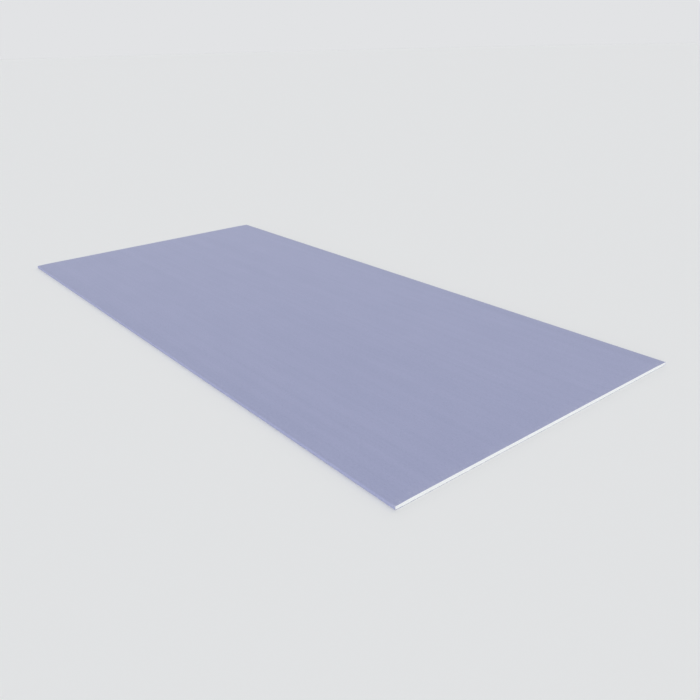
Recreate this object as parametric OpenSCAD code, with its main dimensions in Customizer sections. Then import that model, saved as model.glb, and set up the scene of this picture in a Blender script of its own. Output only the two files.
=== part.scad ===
// Drywall sheet: a flat board of gypsum cast between two papers.
// It lies on its back, with the tapered face up. X runs along the length,
// Y across the width and Z up, out of the face. The origin is at the middle
// of the underside. All sizes are in millimetres.

/* [Sheet] */
// Length of the sheet, between its two cut ends
sheet_length = 2600; // [1200:50:3600]
// Width of the sheet, between its two long edges
sheet_width = 1200; // [400:50:1250]
// Thickness of the sheet inside the tapered bands, papers included
sheet_thickness = 12.5; // [9.5:0.1:18]

/* [Long edges] */
// Width of the tapered band along each long edge of the face
taper_width = 56; // [40:1:70]
// How far the face drops over the tapered band
taper_depth = 1.3; // [0.6:0.1:2]
// Outer radius of the face paper's fold at each corner of a long edge
fold_radius = 1.5; // [1:0.1:2.5]

/* [Papers] */
// Thickness of the face paper and of the back paper
paper_thickness = 0.4; // [0.3:0.05:0.6]
// Width of the face paper turned under onto the back, from the long edge
flap_width = 25; // [16:1:40]
// Distance from each long edge to the edge of the back paper
back_paper_inset = 12; // [6:1:14]

/* [Hidden] */

// Flats that make up each quarter turn of the folded paper
fold_flats = 3;
half_width = sheet_width / 2;
// The flaps lie on top of the back paper's margins, so their outside is one paper up
flap_level = paper_thickness;
// Height of the face where the tapered band meets the fold
edge_height = sheet_thickness - taper_depth;
upper_fold_centre = [half_width - fold_radius, edge_height - fold_radius];
lower_fold_centre = [half_width - fold_radius, flap_level + fold_radius];

// A quarter turn of a fold, clockwise from start_angle
function fold_points(centre, radius, start_angle) = [
    for (step = [0 : fold_flats])
        let (angle = start_angle - 90 * step / fold_flats)
        centre + radius * [cos(angle), sin(angle)]
];

// The right half of the line that lies `depth` inside the face paper's outside,
// from the start of the tapered band, round the long edge, to the end of the flap
function right_half(depth) = concat(
    [[half_width - taper_width, sheet_thickness - depth]],
    fold_points(upper_fold_centre, fold_radius - depth, 90),
    fold_points(lower_fold_centre, fold_radius - depth, 0),
    [[half_width - flap_width, flap_level + depth]]
);

function reversed(points) = [
    for (i = [len(points) - 1 : -1 : 0]) points[i]
];

function mirrored(points) = [
    for (point = points) [-point[0], point[1]]
];

// The whole line, from the left flap, over the face, to the right flap
function wrapped_line(depth) = concat(
    reversed(mirrored(right_half(depth))),
    right_half(depth)
);

// Carries a cross-section in Y and Z along the whole length of the sheet
module along_length() {
    rotate([90, 0, 90])
        linear_extrude(height = sheet_length, center = true)
            children();
}

// The cast core: it fills the face paper, is stepped in for the flaps,
// and is bare at both cut ends
module gypsum_core() {
    flap_end = half_width - flap_width;
    color("whitesmoke")
        along_length()
            polygon(concat(
                wrapped_line(paper_thickness),
                [[flap_end, paper_thickness], [-flap_end, paper_thickness]]
            ));
}

// One paper over the face, round both long edges and under onto the back
module face_paper() {
    color("#a6abc8")
        along_length()
            polygon(concat(
                wrapped_line(0),
                reversed(wrapped_line(paper_thickness))
            ));
}

// The flat paper on the back, whose margins cover the flaps' inner parts
module back_paper() {
    color("#9699ae")
        along_length()
            translate([back_paper_inset - half_width, 0])
                square([sheet_width - 2 * back_paper_inset, paper_thickness]);
}

gypsum_core();
face_paper();
back_paper();
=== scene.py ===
# %% [markdown]
# # A drywall sheet, in cells
#
# A drywall sheet is gypsum, cast wet between two papers on a moving belt and
# dried hard. The face paper is the wider of the two. It is scored, folded up
# round both long edges and turned in over the back, and the back paper is laid
# on top of its margins. Shaping strips on the belt press a shallow taper along
# both long edges of the face, so that a taped joint ends up flush. Last, the
# board is cut across, and the white core is left bare at the two ends.
#
# The exact solids come first, as a fixed frame. Each is then replaced by a
# mesh with the same outline that also has what the solids leave out: rounded
# folds, air bubbles and crumbled edges at the cuts, and frayed paper.

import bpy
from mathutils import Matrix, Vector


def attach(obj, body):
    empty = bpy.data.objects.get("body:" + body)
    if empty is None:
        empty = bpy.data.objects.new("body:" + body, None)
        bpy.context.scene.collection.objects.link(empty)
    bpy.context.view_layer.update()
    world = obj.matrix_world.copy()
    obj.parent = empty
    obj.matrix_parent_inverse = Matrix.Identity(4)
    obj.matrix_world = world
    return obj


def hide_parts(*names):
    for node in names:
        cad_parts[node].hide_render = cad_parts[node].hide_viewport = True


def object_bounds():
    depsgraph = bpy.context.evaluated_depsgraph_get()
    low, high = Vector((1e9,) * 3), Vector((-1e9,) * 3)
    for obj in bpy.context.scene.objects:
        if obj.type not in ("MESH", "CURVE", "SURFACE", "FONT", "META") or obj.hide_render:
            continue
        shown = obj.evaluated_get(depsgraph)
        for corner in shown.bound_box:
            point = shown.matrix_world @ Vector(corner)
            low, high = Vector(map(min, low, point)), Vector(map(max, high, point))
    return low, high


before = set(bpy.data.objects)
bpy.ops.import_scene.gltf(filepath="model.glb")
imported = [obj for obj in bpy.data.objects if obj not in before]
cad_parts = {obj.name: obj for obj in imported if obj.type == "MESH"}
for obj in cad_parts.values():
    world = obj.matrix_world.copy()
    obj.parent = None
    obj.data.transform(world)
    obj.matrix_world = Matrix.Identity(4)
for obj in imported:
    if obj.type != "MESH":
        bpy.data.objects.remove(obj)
cad_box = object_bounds()
print("size in metres:", [round(high - low, 4) for low, high in zip(*cad_box)])

# %% Load what the cells use
import math

import bmesh
import bpy
import numpy as np
from mathutils import Vector

print("Blender", bpy.app.version_string)

# %% [markdown]
# ## Reading the section from the solids
#
# Every size could be typed in again here, but two lists of sizes drift apart.
# The section's corners are enough to find them all, so they are measured from
# the solids. Lengths are kept in millimetres until a mesh is made, because
# that is how a board maker gives them.

# %% Measure the section
MM = 0.001


def section_corners(node):
    """The corners of a solid's cross-section as (distance from the middle, height), in millimetres."""
    places = [vertex.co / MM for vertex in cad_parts[node].data.vertices]
    return sorted({(round(abs(place.y), 2), round(place.z, 2)) for place in places})


half_length = cad_box[1].x / MM
half_width = cad_box[1].y / MM
face_level = cad_box[1].z / MM

face_corners = section_corners("face_paper")
back_corners = section_corners("back_paper")
paper = back_corners[-1][1] - back_corners[0][1]
back_half_width = back_corners[-1][0]
flap_level = min(height for _, height in face_corners)
taper_start = max(y for y, height in face_corners if height == round(face_level, 2))
flap_end = min(y for y, height in face_corners if height == flap_level)
fold_start = max(y for y, height in face_corners if height == flap_level)
fold_radius = half_width - fold_start
edge_level = max(height for y, height in face_corners if y == fold_start)

print(f"board {2 * half_length:.0f} x {2 * half_width:.0f} x {face_level:.1f} mm, paper {paper:.2f} mm")
print(f"taper from {taper_start:.0f} mm, {face_level - edge_level:.1f} mm deep")
print(f"folds of {fold_radius:.1f} mm radius")
print(f"flaps reach in to {flap_end:.0f} mm and the back paper out to {back_half_width:.0f} mm")

# %% [markdown]
# ## The wrapped line
#
# The face paper's outside, its inside and the core's skin are one line drawn
# at different depths. One function gives that line, so the paper can't part
# from the core. A board's taper doesn't start with a sharp bend, because the
# wet paper bridges the edge of the shaping strip. The line therefore eases
# into its slope over the first part of the band. Columns are close together
# where the line bends, and the cut ends later add more between them.

# %% Draw the wrapped line
TAPER_STEPS = 14
FOLD_STEPS = 6
TAPER_EASE = 0.18


def taper_drop(share):
    """How far the face has dropped, from 0 to 1, at a share of the way across the tapered band."""
    eased = share**2 / (2 * TAPER_EASE) if share < TAPER_EASE else share - TAPER_EASE / 2
    return eased / (1 - TAPER_EASE / 2)


def taper_points(depth):
    """The sloping part of the line, from the flat face to the top of the fold."""
    points = []
    for step in range(TAPER_STEPS + 1):
        share = step / TAPER_STEPS
        y = taper_start + share * (fold_start - taper_start)
        height = face_level - taper_drop(share) * (face_level - edge_level)
        points.append((y, height - depth))
    return points


def fold_points(centre_height, depth, start_angle):
    """A quarter turn round one corner of the long edge, clockwise."""
    radius = fold_radius - depth
    points = []
    for step in range(FOLD_STEPS + 1):
        angle = math.radians(start_angle - 90 * step / FOLD_STEPS)
        points.append((fold_start + radius * math.cos(angle), centre_height + radius * math.sin(angle)))
    return points


def half_line(depth):
    """The line at a depth inside the face paper, from the taper's start round to the flap's end."""
    upper = fold_points(edge_level - fold_radius, depth, 90)
    lower = fold_points(flap_level + fold_radius, depth, 0)
    flap = [(flap_end, flap_level + depth)]
    return taper_points(depth) + upper[1:] + lower + flap


print(len(half_line(0)), "points from the start of the taper to the end of the flap")

# %% [markdown]
# ## Columns across the board
#
# Each layer of the board is a row of columns. A column has a low end and a
# high end, and the layer's cross-section is filled with small quads between
# them. Drawn this way, one builder serves all three layers: the core is a
# thick layer, and each paper is a thin one, even where it turns round a fold.

# %% Lay out the columns of each layer
FLAP_STEP = 0.2


def mirrored(points):
    """The same points on the other side of the middle, in reverse order."""
    return [(-y, height) for y, height in reversed(points)]


def whole_line(depth):
    """The wrapped line from the left flap, over the face, to the right flap."""
    half = half_line(depth)
    return mirrored(half) + half


def core_top():
    """Half of the core's top line, from the start of the taper out to the long edge."""
    return taper_points(paper) + fold_points(edge_level - fold_radius, paper, 90)[1:]


def core_bottom():
    """Half of the core's bottom line, which steps up where the flap slips in under the core."""
    places = [y for y, _ in taper_points(0)]
    step = [(flap_end - FLAP_STEP, paper), (flap_end, 2 * paper)]
    inner = [(y, paper) for y in places if y < flap_end - FLAP_STEP]
    outer = [(y, 2 * paper) for y in places if y > flap_end]
    turned = fold_points(flap_level + fold_radius, paper, 0)[::-1]
    return inner + step + outer + turned[1:]


def height_at(points, y):
    """The height of a line of points at a distance from the middle."""
    return float(np.interp(y, [p[0] for p in points], [p[1] for p in points]))


def core_columns():
    """The core's columns, with each bend of its top and bottom lines on a column."""
    low, high = core_bottom(), core_top()
    places = sorted({round(y, 4) for y, _ in low + high})
    half = [((y, height_at(low, y)), (y, height_at(high, y))) for y in places]
    other = [((-a[0], a[1]), (-b[0], b[1])) for a, b in reversed(half)]
    return np.array(other + half)


def paper_columns():
    """The face paper's columns, from its inside to its outside."""
    return np.array(list(zip(whole_line(paper), whole_line(0))))


def backing_columns():
    """The back paper's columns, one at each edge."""
    return np.array([((y, 0), (y, paper)) for y in (-back_half_width, back_half_width)])


for layer in (core_columns(), paper_columns(), backing_columns()):
    heights = layer[..., 1]
    print(f"layer with {len(layer)} columns, from {heights.min():.2f} to {heights.max():.2f} mm high")

# %% [markdown]
# ## From columns to a closed mesh
#
# The cut ends need a fine net, because a bubble is a millimetre wide, but the
# 2.6 m between them need almost nothing. So the net is fine on the two cuts
# and on a narrow collar behind each, and one row of triangles steps it down to
# the coarse net of the rest. A subdivided box would need a hundred times as
# many faces for the same bubbles. The triangles are fanned out by hand, since
# a many-sided face with its corners in a line is cut into slivers of no area.

# %% Space the columns
COARSE_ACROSS = 48.0


def spread(columns, spacing):
    """Adds columns until none are further apart than the spacing; gives them and the old ones' numbers."""
    made, kept = [columns[0]], [0]
    for start, end in zip(columns[:-1], columns[1:]):
        pieces = max(1, math.ceil(np.abs(end - start).max() / spacing))
        made += [start + (end - start) * step / pieces for step in range(1, pieces + 1)]
        kept.append(len(made) - 1)
    return np.array(made), kept


def rim_loop(count, rows):
    """The net's outer vertices in order, as (column, row), anticlockwise from the lower left."""
    along = [(i, 0) for i in range(count)]
    up = [(count - 1, j) for j in range(1, rows)]
    back = [(i, rows) for i in reversed(range(count))]
    down = [(0, j) for j in reversed(range(1, rows))]
    return along + up + back + down


print(len(spread(core_columns(), COARSE_ACROSS)[0]), "columns in the core's coarse net")

# %% Collect the faces of a layer
class LayerNet:
    """Collects the vertices and faces of one layer, ring by ring along the board."""

    def __init__(self, columns, spacing, rows):
        columns, kept = spread(spread(columns, COARSE_ACROSS)[0], spacing)
        share = np.linspace(0, 1, rows + 1)[None, :, None]
        self.section = columns[:, None, 0] * (1 - share) + columns[:, None, 1] * share
        self.count, self.rows = len(columns), rows
        self.loop = rim_loop(self.count, rows)
        self.coarse = [k for k, (i, j) in enumerate(self.loop) if i in set(kept) and j in (0, rows)]
        self.verts, self.faces, self.rings = [], [], []

    def cap(self, x, turn):
        """A whole cross-section at a cut; turn is 1 where it faces along +X and -1 where it faces back."""
        base, rows = len(self.verts), self.rows
        self.verts += [(x, *place) for place in self.section.reshape(-1, 2)]
        for i in range(self.count - 1):
            for j in range(rows):
                corner = base + i * (rows + 1) + j
                face = [corner, corner + rows + 1, corner + rows + 2, corner + 1]
                self.faces.append(face[::turn])
        self.rings.append([base + i * (rows + 1) + j for i, j in self.loop])

    def ring(self, x, picked):
        """A ring of vertices round the layer, at the picked places of the loop."""
        places = [self.section[self.loop[k]] for k in picked]
        self.rings.append([len(self.verts) + k for k in range(len(places))])
        self.verts += [(x, *place) for place in places]

    def wall(self, first, second):
        """Quads between two rings that have as many vertices as each other."""
        a, b = self.rings[first], self.rings[second]
        for k in range(len(a)):
            n = (k + 1) % len(a)
            self.faces.append([a[k], a[n], b[n], b[k]])

    def step_down(self, fine, small, turn):
        """Triangles from a fine ring to a coarse one, each half of a stretch fanned from its own end."""
        many, few = self.rings[fine], self.rings[small]
        for k, start in enumerate(self.coarse):
            n = (k + 1) % len(self.coarse)
            stop = self.coarse[n] or len(self.loop)
            edge = [many[m % len(self.loop)] for m in range(start, stop + 1)]
            half = (stop - start) // 2
            for m in range(len(edge) - 1):
                self.faces.append([edge[m], edge[m + 1], few[k if m < half else n]][::turn])
            self.faces.append([few[k], edge[half], few[n]][::turn])


sample = LayerNet(backing_columns(), COARSE_ACROSS, 1)
print("the back paper's coarse ring has", len(sample.coarse), "vertices")

# %% Close the mesh of a layer
COLLAR = 4.0
STEP_DOWN = 12.0
COARSE_ALONG = 104.0


def layer_mesh(name, columns, spacing, rows):
    """A closed mesh of one layer, with a fine net on both cuts."""
    net = LayerNet(columns, spacing, rows)
    every = range(len(net.loop))
    collar, step = half_length - COLLAR, half_length - STEP_DOWN
    rings_between = math.ceil(2 * step / COARSE_ALONG) + 1
    net.cap(-half_length, -1)
    net.ring(-collar, every)
    for x in np.linspace(-step, step, rings_between):
        net.ring(x, net.coarse)
    net.ring(collar, every)
    net.cap(half_length, 1)
    net.wall(0, 1)
    net.step_down(1, 2, 1)
    for k in range(2, rings_between + 1):
        net.wall(k, k + 1)
    net.step_down(-2, -3, -1)
    net.wall(-2, -1)
    mesh = bpy.data.meshes.new(name)
    mesh.from_pydata(np.array(net.verts) * MM, [], net.faces)
    print(name, "has", len(mesh.polygons), "faces, and", net.count, "columns on each cut")
    return mesh


print(f"each cut has a collar of {COLLAR:.0f} mm, and is coarse again from {STEP_DOWN:.0f} mm in")

# %% [markdown]
# ## Nodes by one helper
#
# Two kinds of node tree follow: one shapes meshes and the other colours them.
# Both are built in code. One function adds a node, sets it up and wires it
# in, so that a tree reads as a list of what it does.

# %% Add a node
def find_socket(sockets, key):
    """A socket by its number, its identifier or its name, and never a switched-off one."""
    live = [socket for socket in sockets if socket.enabled]
    if isinstance(key, int):
        return live[key]
    return [socket for socket in live if key in (socket.identifier, socket.name)][0]


def add_node(tree, kind, inputs=(), output=0, **settings):
    """Adds a node with its settings and its inputs, as values or sockets, and gives one of its outputs.

    The inputs are a list in the node's own order, or a dictionary by name.
    """
    node = tree.nodes.new(kind)
    for name, value in settings.items():
        setattr(node, name, value)
    given = inputs if isinstance(inputs, dict) else dict(enumerate(inputs))
    for key, value in given.items():
        socket = find_socket(node.inputs, key)
        if isinstance(value, bpy.types.NodeSocket):
            tree.links.new(value, socket)
        else:
            socket.default_value = value
    return find_socket(node.outputs, output) if len(node.outputs) else node


print("add_node:", add_node.__doc__.splitlines()[0])

# %% [markdown]
# ## Trees that shape a mesh
#
# Geometry Nodes suit a surface that follows a rule, and a cut through cast
# gypsum does: round air bubbles of many sizes, a grain, and the marks of the
# cutter. A tree's sizes are named inputs, set by each socket's identifier.
# Afterwards the result is made a plain mesh and the modifier is taken off.

# %% Start and apply a shaping tree
def shaping_tree(name, sizes):
    """An empty tree that takes a mesh and the named sizes; gives the tree and its input sockets."""
    tree = bpy.data.node_groups.new(name, "GeometryNodeTree")
    tree.interface.new_socket("Mesh", in_out="INPUT", socket_type="NodeSocketGeometry")
    for size in sizes:
        tree.interface.new_socket(size, in_out="INPUT", socket_type="NodeSocketFloat")
    tree.interface.new_socket("Finish", in_out="INPUT", socket_type="NodeSocketMaterial")
    tree.interface.new_socket("Mesh", in_out="OUTPUT", socket_type="NodeSocketGeometry")
    return tree, tree.nodes.new("NodeGroupInput").outputs


def close_tree(tree, mesh, finish):
    """Ends a shaping tree with real geometry in its finish."""
    real = add_node(tree, "GeometryNodeRealizeInstances", {"Geometry": mesh})
    done = add_node(tree, "GeometryNodeSetMaterial", {"Geometry": real, "Material": finish})
    add_node(tree, "NodeGroupOutput", [done])


def apply_tree(piece, tree, values):
    """Runs a shaping tree on a piece with the given inputs, and keeps the result as a plain mesh."""
    modifier = piece.modifiers.new(tree.name, "NODES")
    modifier.node_group = tree
    for item in tree.interface.items_tree:
        if item.in_out == "INPUT" and item.name in values:
            modifier[item.identifier] = values[item.name]
    graph = bpy.context.evaluated_depsgraph_get()
    mesh = bpy.data.meshes.new_from_object(piece.evaluated_get(graph))
    piece.modifiers.remove(modifier)
    piece.data = mesh
    print(piece.name, "has", len(mesh.polygons), "faces after", tree.name)


# %% [markdown]
# ### The cut through the core
#
# Foam is stirred into the wet gypsum to make it light, and every bubble that
# the cutter meets is left as a round bowl. Pushing the net's own vertices in
# would give square holes, because a bubble is hardly wider than one quad. So
# the tree does what the foam did: it scatters balls through the plane of the
# cut, each at its own depth, and takes them away from the core with a
# boolean. The bubbles thin out near the papers, where the gypsum is denser.
# Before that, the flat cut is given its grain, the strokes of the cutter and
# the brittle rim that crumbles beside each paper. Everything goes inwards, so
# the board keeps its length.

# %% Find the cuts and move them
FLAT_CUT = 0.5
ROUGH_CUT = 1.6


def on_cut(tree, given, margin):
    """Fields of the place, its side (-1 or 1 along X) and whether it lies within the margin of a cut."""
    place = add_node(tree, "GeometryNodeInputPosition")
    along = add_node(tree, "ShaderNodeSeparateXYZ", [place], "X")
    limit = add_node(tree, "ShaderNodeMath", [given["Half Length"], margin * MM], operation="SUBTRACT")
    side = add_node(tree, "ShaderNodeMath", [along], operation="SIGN")
    reach = add_node(tree, "ShaderNodeMath", [along], operation="ABSOLUTE")
    return place, side, add_node(tree, "ShaderNodeMath", [reach, limit], operation="GREATER_THAN")


def push_in(tree, mesh, side, depth, where):
    """Moves the chosen vertices inwards from the cut by a depth."""
    inwards = add_node(tree, "ShaderNodeMath", [side, -1.0], operation="MULTIPLY")
    inwards = add_node(tree, "ShaderNodeMath", [inwards, depth], operation="MULTIPLY")
    shift = add_node(tree, "ShaderNodeCombineXYZ", {"X": inwards})
    return add_node(tree, "GeometryNodeSetPosition", {"Geometry": mesh, "Selection": where, "Offset": shift})


def rough(tree, vector, size, depth, detail):
    """Noise of one grain size, from nothing to its depth."""
    scale = add_node(tree, "ShaderNodeMath", [1.0, size], operation="DIVIDE")
    noise = add_node(tree, "ShaderNodeTexNoise", {"Vector": vector, "Scale": scale, "Detail": detail}, "Fac")
    return add_node(tree, "ShaderNodeMath", [noise, depth], operation="MULTIPLY")


def above(tree, value, level):
    """How far a value is above a level, and nothing where it is below."""
    over = add_node(tree, "ShaderNodeMath", [value, level], operation="SUBTRACT")
    return add_node(tree, "ShaderNodeMath", [over, 0.0], operation="MAXIMUM")


print(f"a vertex is on a cut within {FLAT_CUT} mm of it, or {ROUGH_CUT} mm once the cut is rough")

# %% Open the bubbles
SPACING = 2.1
SMALLEST_DRAW = 0.42
SMALL_BIAS = 1.7
SHALLOWEST, DEEPEST = -0.5, 0.3


def open_bubbles(tree, given, mesh, whole, density, radius, seed):
    """Takes balls of random size away from a mesh, at points scattered over the cuts of the whole core."""
    _, side, at_cut = on_cut(tree, given, ROUGH_CUT)
    rim = add_node(tree, "GeometryNodeInputNamedAttribute", {"Name": "rim"}, data_type="FLOAT")
    apart = add_node(tree, "ShaderNodeMath", [radius, SPACING], operation="MULTIPLY")
    inside = add_node(tree, "ShaderNodeMath", [1.0, rim], operation="SUBTRACT")
    points = add_node(tree, "GeometryNodeDistributePointsOnFaces",
                      {"Mesh": whole, "Selection": at_cut, "Distance Min": apart, "Density Max": density,
                       "Density Factor": inside, "Seed": seed}, distribute_method="POISSON")

    # A power of the draw makes small bubbles the most common.
    draw = add_node(tree, "FunctionNodeRandomValue", {"Min": SMALLEST_DRAW, "Max": 1.0, "Seed": seed})
    size = add_node(tree, "ShaderNodeMath", [draw, SMALL_BIAS], operation="POWER")
    size = add_node(tree, "ShaderNodeMath", [size, radius], operation="MULTIPLY")
    sunk = add_node(tree, "FunctionNodeRandomValue", {"Min": SHALLOWEST, "Max": DEEPEST, "Seed": seed + 1})
    sunk = add_node(tree, "ShaderNodeMath", [sunk, size], operation="MULTIPLY")
    points = push_in(tree, points, side, sunk, True)
    ball = add_node(tree, "GeometryNodeMeshIcoSphere", {"Radius": 1.0, "Subdivisions": 2})
    balls = add_node(tree, "GeometryNodeInstanceOnPoints",
                     {"Points": points, "Instance": ball, "Scale": size})
    balls = add_node(tree, "GeometryNodeRealizeInstances", {"Geometry": balls})
    return add_node(tree, "GeometryNodeMeshBoolean", {"Mesh 1": mesh, "Mesh 2": balls},
                    operation="DIFFERENCE", solver="MANIFOLD")


print(f"bubble centres are at least {SPACING} radii apart")

# %% Shape the cut core
STROKE_STRETCH = (1.0, 1.0, 0.04)
FIRM_RIM = 0.45
LARGE_SEED, SMALL_SEED = 11, 37


def cut_core_tree():
    """A tree that roughens the core's two cuts and opens the bubbles in them."""
    sizes = ["Half Length", "Recess", "Grain Size", "Grain Depth", "Cutter Pitch", "Cutter Depth",
             "Crumble Size", "Crumble Depth",
             "Large Bubble", "Large Density", "Small Bubble", "Small Density"]
    tree, given = shaping_tree("cut through cast gypsum", sizes)
    place, side, at_cut = on_cut(tree, given, FLAT_CUT)
    rim = add_node(tree, "GeometryNodeInputNamedAttribute", {"Name": "rim"}, data_type="FLOAT")

    # The cutter's strokes run through the thickness, so their noise is drawn out along Z.
    stroke = add_node(tree, "ShaderNodeVectorMath", [place, STROKE_STRETCH], operation="MULTIPLY")
    crumble = above(tree, rough(tree, place, given["Crumble Size"], 1.0, 2.0), FIRM_RIM)
    crumble = add_node(tree, "ShaderNodeMath", [crumble, rim], operation="MULTIPLY")
    crumble = add_node(tree, "ShaderNodeMath", [crumble, given["Crumble Depth"]], operation="MULTIPLY")
    bumps = rough(tree, place, given["Grain Size"], given["Grain Depth"], 3.0)
    marks = rough(tree, stroke, given["Cutter Pitch"], given["Cutter Depth"], 1.0)
    depth = given["Recess"]
    for layer in (crumble, bumps, marks):
        depth = add_node(tree, "ShaderNodeMath", [depth, layer], operation="ADD")
    whole = push_in(tree, given["Mesh"], side, depth, at_cut)
    whole = add_node(tree, "GeometryNodeTriangulate", {"Mesh": whole})
    mesh = open_bubbles(tree, given, whole, whole, given["Large Density"], given["Large Bubble"], LARGE_SEED)
    mesh = open_bubbles(tree, given, mesh, whole, given["Small Density"], given["Small Bubble"], SMALL_SEED)
    close_tree(tree, mesh, given["Finish"])
    return tree


core_tree = cut_core_tree()
print(core_tree.name, "has", len(core_tree.nodes), "nodes")

# %% [markdown]
# ### The frayed edge of a paper
#
# The cutter parts the core cleanly but drags the paper, which is a felt of
# fibres. Its cut edge wanders by a few tenths of a millimetre, in short
# tears. The same tree serves both papers.

# %% Fray a cut paper
WHOLE_PAPER = 0.35


def frayed_tree():
    """A tree that makes the cut edge of a paper wander."""
    tree, given = shaping_tree("frayed cut of a paper", ["Half Length", "Tear Size", "Tear Depth"])
    place, side, at_cut = on_cut(tree, given, FLAT_CUT)
    scale = add_node(tree, "ShaderNodeMath", [1.0, given["Tear Size"]], operation="DIVIDE")
    noise = add_node(tree, "ShaderNodeTexNoise",
                     {"Vector": place, "Scale": scale, "Detail": 4.0, "Roughness": 0.7}, "Fac")
    tear = above(tree, noise, WHOLE_PAPER)
    tear = add_node(tree, "ShaderNodeMath", [tear, given["Tear Depth"]], operation="MULTIPLY")
    close_tree(tree, push_in(tree, given["Mesh"], side, tear, at_cut), given["Finish"])
    return tree


paper_tree = frayed_tree()
print(paper_tree.name, "has", len(paper_tree.nodes), "nodes")

# %% [markdown]
# ## Colours and patterns
#
# Colours are written as sRGB hex, the way a dye is matched on a screen, and
# one function turns them linear. Every pattern is noise or cells at a real
# size in millimetres. Neither paper nor cut gypsum looks the same in every
# direction, because fibres lie along the machine and cutter marks run through
# the thickness. So a pattern can have a different size along each axis.

# %% Turn colours linear
def paint(hex_colour):
    """An sRGB hex colour as linear red, green, blue and alpha."""
    channels = [int(hex_colour[i:i + 2], 16) / 255 for i in (1, 3, 5)]
    linear = [c / 12.92 if c <= 0.04045 else ((c + 0.055) / 1.055) ** 2.4 for c in channels]
    return (*linear, 1.0)


print("lilac in linear light:", [round(channel, 3) for channel in paint("#a4a8c9")])

# %% Draw noise at real sizes
def new_material(name):
    """An empty material and its tree."""
    material = bpy.data.materials.new(name)
    material.use_nodes = True
    material.node_tree.nodes.clear()
    return material, material.node_tree


def stretched(tree, sizes, turn=0):
    """Object coordinates, turned in the face, in which sizes (mm along X, Y and Z) count as 1."""
    place = add_node(tree, "ShaderNodeTexCoord", output="Object")
    return add_node(tree, "ShaderNodeMapping",
                    {"Vector": place, "Rotation": (0, 0, math.radians(turn)),
                     "Scale": [1 / (size * MM) for size in sizes]})


def grain(tree, sizes, levels=None, detail=2.0, roughness=0.5, turn=0):
    """Noise with grains of the given sizes (mm), or a share that climbs between two levels of it."""
    noise = add_node(tree, "ShaderNodeTexNoise",
                     {"Vector": stretched(tree, sizes, turn), "Scale": 1.0, "Detail": detail,
                      "Roughness": roughness}, "Fac")
    if levels is None:
        return noise
    low, high = levels
    return add_node(tree, "ShaderNodeMapRange", {"Value": noise, "From Min": low, "From Max": high},
                    interpolation_type="SMOOTHSTEP")


print("a noise's size is given along the board, across it and through it")

# %% Draw specks and bands
SPECK_RARITY = 6.0
SOFT_EDGE = 0.3


def specks(tree, sizes, radius):
    """Round specks, one to some of the cells; radius is a share of a cell."""
    place = stretched(tree, sizes)
    cells = add_node(tree, "ShaderNodeTexVoronoi", {"Vector": place, "Scale": 1.0}).node.outputs
    chance = add_node(tree, "ShaderNodeSeparateColor", {"Color": cells["Color"]}, "Red")
    reach = add_node(tree, "ShaderNodeMath", [chance, SPECK_RARITY], operation="POWER")
    reach = add_node(tree, "ShaderNodeMath", [reach, radius], operation="MULTIPLY")
    inside = add_node(tree, "ShaderNodeMath", [reach, cells["Distance"]], operation="SUBTRACT")
    return add_node(tree, "ShaderNodeMapRange", {"Value": inside, "From Max": SOFT_EDGE * radius},
                    interpolation_type="SMOOTHSTEP")


def band(tree, axis, start, stop):
    """A share that climbs from 0 to 1 between two distances (mm) from the middle, along one axis."""
    place = add_node(tree, "ShaderNodeTexCoord", output="Object")
    part = add_node(tree, "ShaderNodeSeparateXYZ", [place], axis)
    reach = add_node(tree, "ShaderNodeMath", [part], operation="ABSOLUTE")
    reach = add_node(tree, "ShaderNodeMath", [reach, 1 / MM], operation="MULTIPLY")
    return add_node(tree, "ShaderNodeMapRange", {"Value": reach, "From Min": start, "From Max": stop},
                    interpolation_type="SMOOTHSTEP")


print(f"a power of {SPECK_RARITY:.0f} makes most cells' specks too small to see")

# %% Lay colours over each other
def stacked(tree, base, layers):
    """A base value with layers added to it, each a (socket, weight)."""
    for layer, weight in layers:
        base = add_node(tree, "ShaderNodeMath", [layer, weight, base], operation="MULTIPLY_ADD")
    return base


def coated(tree, colour, coats):
    """A colour with coats laid over it in turn, each a (socket, strength, sRGB hex colour)."""
    for share, strength, over in coats:
        share = add_node(tree, "ShaderNodeMath", [share, strength], operation="MULTIPLY")
        colour = add_node(tree, "ShaderNodeMix", {"Factor": share, "A": colour, "B": paint(over)},
                          data_type="RGBA")
    return colour


def finish_surface(tree, colour, roughness, height, relief, **shader):
    """The shader itself, with a relief of the given depth in millimetres."""
    normal = add_node(tree, "ShaderNodeBump", {"Height": height, "Distance": relief * MM, "Strength": 1.0})
    inputs = {"Base Color": colour, "Roughness": roughness, "Normal": normal}
    inputs.update({name.replace("_", " "): value for name, value in shader.items()})
    surface = add_node(tree, "ShaderNodeBsdfPrincipled", inputs)
    add_node(tree, "ShaderNodeOutputMaterial", {"Surface": surface})


print("a coat is a pattern, its strength and its colour")

# %% [markdown]
# ### Liner paper
#
# Board liner is recycled paper made in several plies on a cylinder machine,
# dyed in the pulp and left uncoated. That gives the eye a matt, even colour
# that turns out cloudy when looked at closely, because the pulp settles in
# flocks. Fibres lie mostly along the machine, which is the board's length,
# faint streaks run the same way, and stray fibres of other colours show as
# flecks. Near each cut the paper carries a bloom of gypsum dust, and the
# folds are rubbed a little pale. Real fibres are far too fine to show, so
# they are drawn about ten times as coarse.
#
# Both papers come from one function. The back differs in colour and in
# having more flecks, because its outer ply is poorer stock.

# %% Draw fibres, dust and wear
DUSTY = 40
FOLD_WEAR = 1.0


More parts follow.
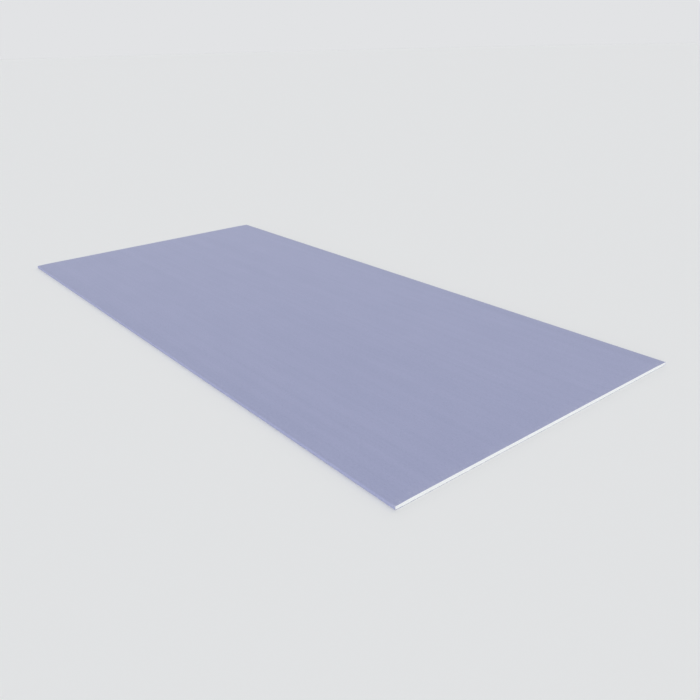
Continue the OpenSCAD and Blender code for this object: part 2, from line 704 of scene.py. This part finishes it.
def fibre_felt(tree):
    """Fibres that lie mostly along the board, in three layers crossed at small angles."""
    felt = grain(tree, (7, 0.6, 0.6), detail=1.0)
    for angle in (16, -21):
        layer = grain(tree, (6, 0.6, 0.6), detail=1.0, turn=angle)
        felt = add_node(tree, "ShaderNodeMath", [felt, layer], operation="MAXIMUM")
    return add_node(tree, "ShaderNodeMapRange", {"Value": felt, "From Min": 0.5, "From Max": 0.78},
                    interpolation_type="SMOOTHSTEP")


def stray_fibres(tree, share):
    """Flecks of two sorts: long ones that lie along the board and short ones across it."""
    along, across = specks(tree, (6, 1.6, 1.6), share), specks(tree, (2.2, 3.0, 3.0), 0.6 * share)
    return add_node(tree, "ShaderNodeMath", [along, across], operation="MAXIMUM")


def core_dust(tree):
    """Dust of the core in patches, wiped back from each cut."""
    near_cut = band(tree, "X", half_length - DUSTY, half_length)
    patches = grain(tree, (9, 7, 7), (0.5, 0.72), 5.0, 0.75)
    dust = add_node(tree, "ShaderNodeMath", [near_cut, near_cut], operation="MULTIPLY")
    return add_node(tree, "ShaderNodeMath", [dust, patches], operation="MULTIPLY")


def rubbed_folds(tree):
    """Where the folds of both long edges are rubbed."""
    at_fold = band(tree, "Y", fold_start - FOLD_WEAR, half_width)
    rubbed = grain(tree, (26, 2.5, 2.5), (0.5, 0.75), 3.0, 0.6)
    return add_node(tree, "ShaderNodeMath", [at_fold, rubbed], operation="MULTIPLY")


print(f"dust lies within {DUSTY} mm of a cut, and wear on the folds")

# %% Make the liner papers
# Width over which the tapered band turns smoother and takes on its painted shade.
PRESSED_AND_SHADED_EDGE = 10
PAPER_RELIEF = 0.07


def liner_paper(name, pale, deep, fleck, fleck_share):
    """Uncoated, pulp-dyed liner board."""
    material, tree = new_material(name)
    felt = fibre_felt(tree)
    tooth = grain(tree, (0.5, 0.4, 0.4))
    # The low spots of the tooth are painted darker: painted shade in the paper's pits.
    pit_shade = add_node(tree, "ShaderNodeMapRange", {"Value": tooth, "From Min": 0.5, "From Max": 0.2},
                    interpolation_type="SMOOTHSTEP")
    flocks = grain(tree, (11, 6, 6), (0.3, 0.7), 5.0, 0.7)
    clouds = grain(tree, (220, 90, 90), (0.3, 0.7), 4.0)
    streaks = grain(tree, (2600, 14, 14), (0.3, 0.7), 4.0, 0.65)

    # The shaping strip presses the tapered band a little denser and smoother than the rest.
    # Its deeper tone is painted shade, standing in for the shading of the slope.
    pressed_and_shaded = band(tree, "Y", taper_start, taper_start + PRESSED_AND_SHADED_EDGE)
    tone = stacked(tree, 0.0, [(clouds, 0.2), (flocks, 0.35), (streaks, 0.35), (pressed_and_shaded, 0.25)])
    ground = add_node(tree, "ShaderNodeMix", {"Factor": tone, "A": paint(pale), "B": paint(deep)},
                      data_type="RGBA")
    colour = coated(tree, ground, [
        (felt, 0.16, "#d3d5ea"),
        (pit_shade, 0.3, fleck),
        (stray_fibres(tree, fleck_share), 0.5, fleck),
        (core_dust(tree), 0.4, "#e3e5ea"),
        (rubbed_folds(tree), 0.3, "#c9cbe0"),
    ])
    roughness = stacked(tree, 0.78, [(flocks, 0.08), (pressed_and_shaded, -0.05)])
    height = stacked(tree, 0.0, [(felt, 0.4), (tooth, 0.6), (flocks, 0.6)])
    finish_surface(tree, colour, roughness, height, PAPER_RELIEF,
                   IOR=1.5, Sheen_Weight=0.08, Sheen_Roughness=0.6)
    return material


face_finish = liner_paper("lilac liner paper", "#a4a8c9", "#999ec0", "#8387ac", 0.5)
back_finish = liner_paper("grey lilac liner paper", "#9697af", "#888aa4", "#696b84", 0.65)
print("made", face_finish.name, "and", back_finish.name)

# %% [markdown]
# ### Set gypsum
#
# The core is calcined gypsum that has set again: a felt of tiny needles, dead
# matt and nearly white, with a faint cold cast. A cut through it looks
# chalky. It shows fine pores below the size of the modelled bubbles, painted
# darker as painted shade inside them, and the strokes of the cutter as faint
# lines through the thickness.

# %% Make the gypsum
GYPSUM_RELIEF = 0.14


def set_gypsum():
    """Cast and cut gypsum, bare and dusty."""
    material, tree = new_material("set gypsum")
    chalk = grain(tree, (5, 5, 5), (0.3, 0.7), 5.0, 0.7)
    strokes = grain(tree, (0.9, 0.9, 24), detail=2.0, roughness=0.6)
    scores = add_node(tree, "ShaderNodeMapRange", {"Value": strokes, "From Min": 0.6, "From Max": 0.85},
                      interpolation_type="SMOOTHSTEP")
    fine, coarse = specks(tree, (0.9, 0.9, 0.9), 0.5), specks(tree, (1.7, 1.7, 1.7), 0.4)
    pores_and_shade = add_node(tree, "ShaderNodeMath", [fine, coarse], operation="MAXIMUM")
    ground = add_node(tree, "ShaderNodeMix", {"Factor": chalk, "A": paint("#f5f6f6"), "B": paint("#ebeded")},
                      data_type="RGBA")
    # The pores are sunk by the relief and painted darker: painted shade inside them.
    colour = coated(tree, ground, [(scores, 0.3, "#d6dadb"), (pores_and_shade, 0.5, "#c0c3c3")])
    roughness = add_node(tree, "ShaderNodeMath", [chalk, 0.05, 0.92], operation="MULTIPLY_ADD")
    height = stacked(tree, 0.0, [(chalk, 0.4), (strokes, 0.3), (pores_and_shade, -0.6)])
    finish_surface(tree, colour, roughness, height, GYPSUM_RELIEF, IOR=1.52)
    return material


gypsum_finish = set_gypsum()
print("made", gypsum_finish.name)

# %% [markdown]
# ## The three layers
#
# Each layer is built as a closed mesh, shaped by its tree and put in place of
# its solid. The core's vertices carry one number more, rim, which is 1 beside
# a paper and fades to 0 a millimetre or two inside. The tree reads it to know
# where to crumble and where to leave out bubbles.
#
# Where a ball only just cuts an edge of the net, the boolean leaves edges a
# few thousandths of a millimetre long. They are too small to see but they
# become faces of no area in an export, so they are welded away. A ball that
# only meets the space of a deeper one can leave a closed pocket inside the
# gypsum. Nobody can see into it, so it is deleted.

# %% Place a piece in the board
SHARP = 35


def place_piece(name, mesh):
    """Puts a mesh in the scene as a piece at the origin."""
    piece = bpy.data.objects.new(name, mesh)
    bpy.context.scene.collection.objects.link(piece)
    return piece


def settle_piece(piece, node):
    """Shades a finished piece smooth between its sharp edges, and has it stand for its solid."""
    piece.data.shade_smooth()
    piece.data.set_sharp_from_angle(angle=math.radians(SHARP))
    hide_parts(node)
    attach(piece, "root")


print(f"edges sharper than {SHARP} degrees stay crisp")

# %% Mark the rim
def mark_rim(mesh, columns, reach):
    """Writes how near each vertex is to the skin of the core, as an attribute."""
    low, high = columns[:, 0], columns[:, 1]
    y = np.array([v.co.y for v in mesh.vertices]) / MM
    z = np.array([v.co.z for v in mesh.vertices]) / MM
    to_bottom = z - np.interp(y, low[:, 0], low[:, 1])
    to_top = np.interp(y, high[:, 0], high[:, 1]) - z
    to_side = columns[:, 0, 0].max() - np.abs(y)
    nearest = np.clip(np.minimum(np.minimum(to_bottom, to_top), to_side), 0, None)
    rim = mesh.attributes.new("rim", "FLOAT", "POINT")
    rim.data.foreach_set("value", np.exp(-nearest / reach))
    print(mesh.name, "has", int((nearest < reach).sum()), "vertices in its rim")


# %% Clean a cut
WELD = 0.002


def closed_off(net):
    """The faces that can't be reached from the outermost ones by stepping over edges."""
    outermost = max(net.verts, key=lambda vertex: abs(vertex.co.y)).link_faces[0]
    reached, front = {outermost}, [outermost]
    while front:
        for edge in front.pop().edges:
            fresh = [face for face in edge.link_faces if face not in reached]
            reached.update(fresh)
            front.extend(fresh)
    return [face for face in net.faces if face not in reached]


def clean_cut(piece):
    """Takes away what a boolean leaves: specks of edges, vertices along an edge, and closed pockets."""
    net = bmesh.new()
    net.from_mesh(piece.data)
    bmesh.ops.remove_doubles(net, verts=net.verts, dist=WELD * MM)
    idle = [vertex for vertex in net.verts if len(vertex.link_edges) == 2]
    bmesh.ops.dissolve_verts(net, verts=idle)
    pockets = closed_off(net)
    bmesh.ops.delete(net, geom=pockets, context="FACES")
    net.to_mesh(piece.data)
    net.free()
    print(piece.name, "lost", len(idle), "idle vertices and", len(pockets), "faces of pockets")


# %% Cast the core
CORE_SPACING, CORE_ROWS = 1.4, 9
RIM_REACH = 0.8

columns = core_columns()
core_mesh = layer_mesh("cast_core", columns, CORE_SPACING, CORE_ROWS)
mark_rim(core_mesh, columns, RIM_REACH)
core = place_piece("cast_core", core_mesh)
apply_tree(core, core_tree, {
    "Half Length": half_length * MM, "Recess": 0.2 * MM,
    "Grain Size": 3.0 * MM, "Grain Depth": 0.25 * MM,
    "Cutter Pitch": 2.6 * MM, "Cutter Depth": 0.15 * MM,
    "Crumble Size": 3.4 * MM, "Crumble Depth": 3.0 * MM,
    "Large Bubble": 1.2 * MM, "Large Density": 0.012 / MM**2,
    "Small Bubble": 0.6 * MM, "Small Density": 0.045 / MM**2,
    "Finish": gypsum_finish,
})
clean_cut(core)
settle_piece(core, "gypsum_core")

# %% Wrap the face paper
PAPER_SPACING, PAPER_ROWS = 0.7, 2
tears = {"Half Length": half_length * MM, "Tear Size": 1.8 * MM, "Tear Depth": 0.7 * MM}

wrap = place_piece("face_liner", layer_mesh("face_liner", paper_columns(), PAPER_SPACING, PAPER_ROWS))
apply_tree(wrap, paper_tree, {**tears, "Finish": face_finish})
settle_piece(wrap, "face_paper")

# %% Lay the back paper
backing = place_piece("back_liner", layer_mesh("back_liner", backing_columns(), PAPER_SPACING, PAPER_ROWS))
apply_tree(backing, paper_tree, {**tears, "Finish": back_finish})
settle_piece(backing, "back_paper")

# %% [markdown]
# ## Floor and light
#
# The board lies on a plain pale floor that runs on so far that its edge is
# lost. Lamps near by would leave a bright pool on it, so the light comes from
# far off. One wide, soft sun stands low off the near corner, between the cut
# end and the long edge, so that both are lighter than the face and the relief
# of the gypsum shows. A weaker one lifts the shaded sides. The rest is a pale
# sky, brightest at the horizon and a little dimmer overhead. The floor's
# colour times all that light comes out as bright as the horizon, so the two
# meet without a line.

# %% Lay the floor
FLOOR_RADIUS = 60.0
FLOOR_SIDES = 64


def plain_floor():
    """A pale round floor under the board."""
    material, tree = new_material("pale studio floor")
    surface = add_node(tree, "ShaderNodeBsdfPrincipled",
                       {"Base Color": paint("#f4f4f3"), "Roughness": 1.0, "Specular IOR Level": 0.0})
    add_node(tree, "ShaderNodeOutputMaterial", {"Surface": surface})
    turns = [2 * math.pi * side / FLOOR_SIDES for side in range(FLOOR_SIDES)]
    verts = [(FLOOR_RADIUS * math.cos(turn), FLOOR_RADIUS * math.sin(turn), 0) for turn in turns]
    mesh = bpy.data.meshes.new("floor")
    mesh.from_pydata(verts, [], [range(FLOOR_SIDES)])
    mesh.materials.append(material)
    floor = bpy.data.objects.new("floor", mesh)
    bpy.context.scene.collection.objects.link(floor)
    print("floor", 2 * FLOOR_RADIUS, "m across")


plain_floor()

# %% Hang the lamps
def aim(thing, target):
    """Turns a lamp or camera to look at a place."""
    direction = Vector(target) - thing.location
    thing.rotation_euler = direction.to_track_quat("-Z", "Y").to_euler()


def soft_sun(name, place, strength, width):
    """A far lamp that shines from a place towards the board; width is the angle it fills, in degrees."""
    lamp = bpy.data.lights.new(name, "SUN")
    lamp.energy = strength
    lamp.angle = math.radians(width)
    holder = bpy.data.objects.new(name, lamp)
    holder.location = place
    aim(holder, (0, 0, 0))
    bpy.context.scene.collection.objects.link(holder)
    print(name, "sun of", strength, "W/m2,", width, "degrees wide")


def soft_sky(horizon, zenith):
    """A sky that is brightest at the horizon and dims upwards."""
    world = bpy.data.worlds.new("soft sky")
    world.use_nodes = True
    tree = world.node_tree
    tree.nodes.clear()
    direction = add_node(tree, "ShaderNodeTexCoord", output="Generated")
    upwards = add_node(tree, "ShaderNodeSeparateXYZ", [direction], "Z")
    climb = add_node(tree, "ShaderNodeMapRange", {"Value": upwards}, interpolation_type="SMOOTHSTEP")
    colour = add_node(tree, "ShaderNodeMix", {"Factor": climb, "A": paint(horizon), "B": paint(zenith)},
                      data_type="RGBA")
    light = add_node(tree, "ShaderNodeBackground", {"Color": colour})
    add_node(tree, "ShaderNodeOutputWorld", {"Surface": light})
    bpy.context.scene.world = world


soft_sun("key", (7.4, -8.2, 3.2), 1.42, 40)
soft_sun("fill", (-6.8, 5.4, 4.0), 0.55, 60)
soft_sky("#e2e3e5", "#c8cacd")
bpy.context.scene.view_settings.view_transform = "Standard"

# %% [markdown]
# ## The camera
#
# From straight above, a board is only a rectangle. From about a metre up, off
# its near corner, the face, a long edge and a cut end all show at once. The
# camera's place is given from that corner, so it follows the board if its
# size is changed.

# %% Set the camera
STAND_OFF = Vector((1.013, -0.932, 1.0))
LOOK_AT = Vector((0.42, -0.02, -0.05))
LENS = 36.8
ROLL = -1.4
FURTHEST = 200

camera = bpy.data.objects.new("camera", bpy.data.cameras.new("camera"))
near_corner = Vector((half_length, -half_width, face_level)) * MM
camera.location = near_corner + STAND_OFF
camera.data.lens = LENS
camera.data.clip_end = FURTHEST
aim(camera, LOOK_AT)
camera.rotation_euler.rotate_axis("Z", math.radians(ROLL))
bpy.context.scene.collection.objects.link(camera)
bpy.context.scene.camera = camera
print("camera at", [round(part, 3) for part in camera.location], "with a lens of", LENS, "mm")

# %% [markdown]
# ## The size
#
# A finer mesh may not change the board's real size.
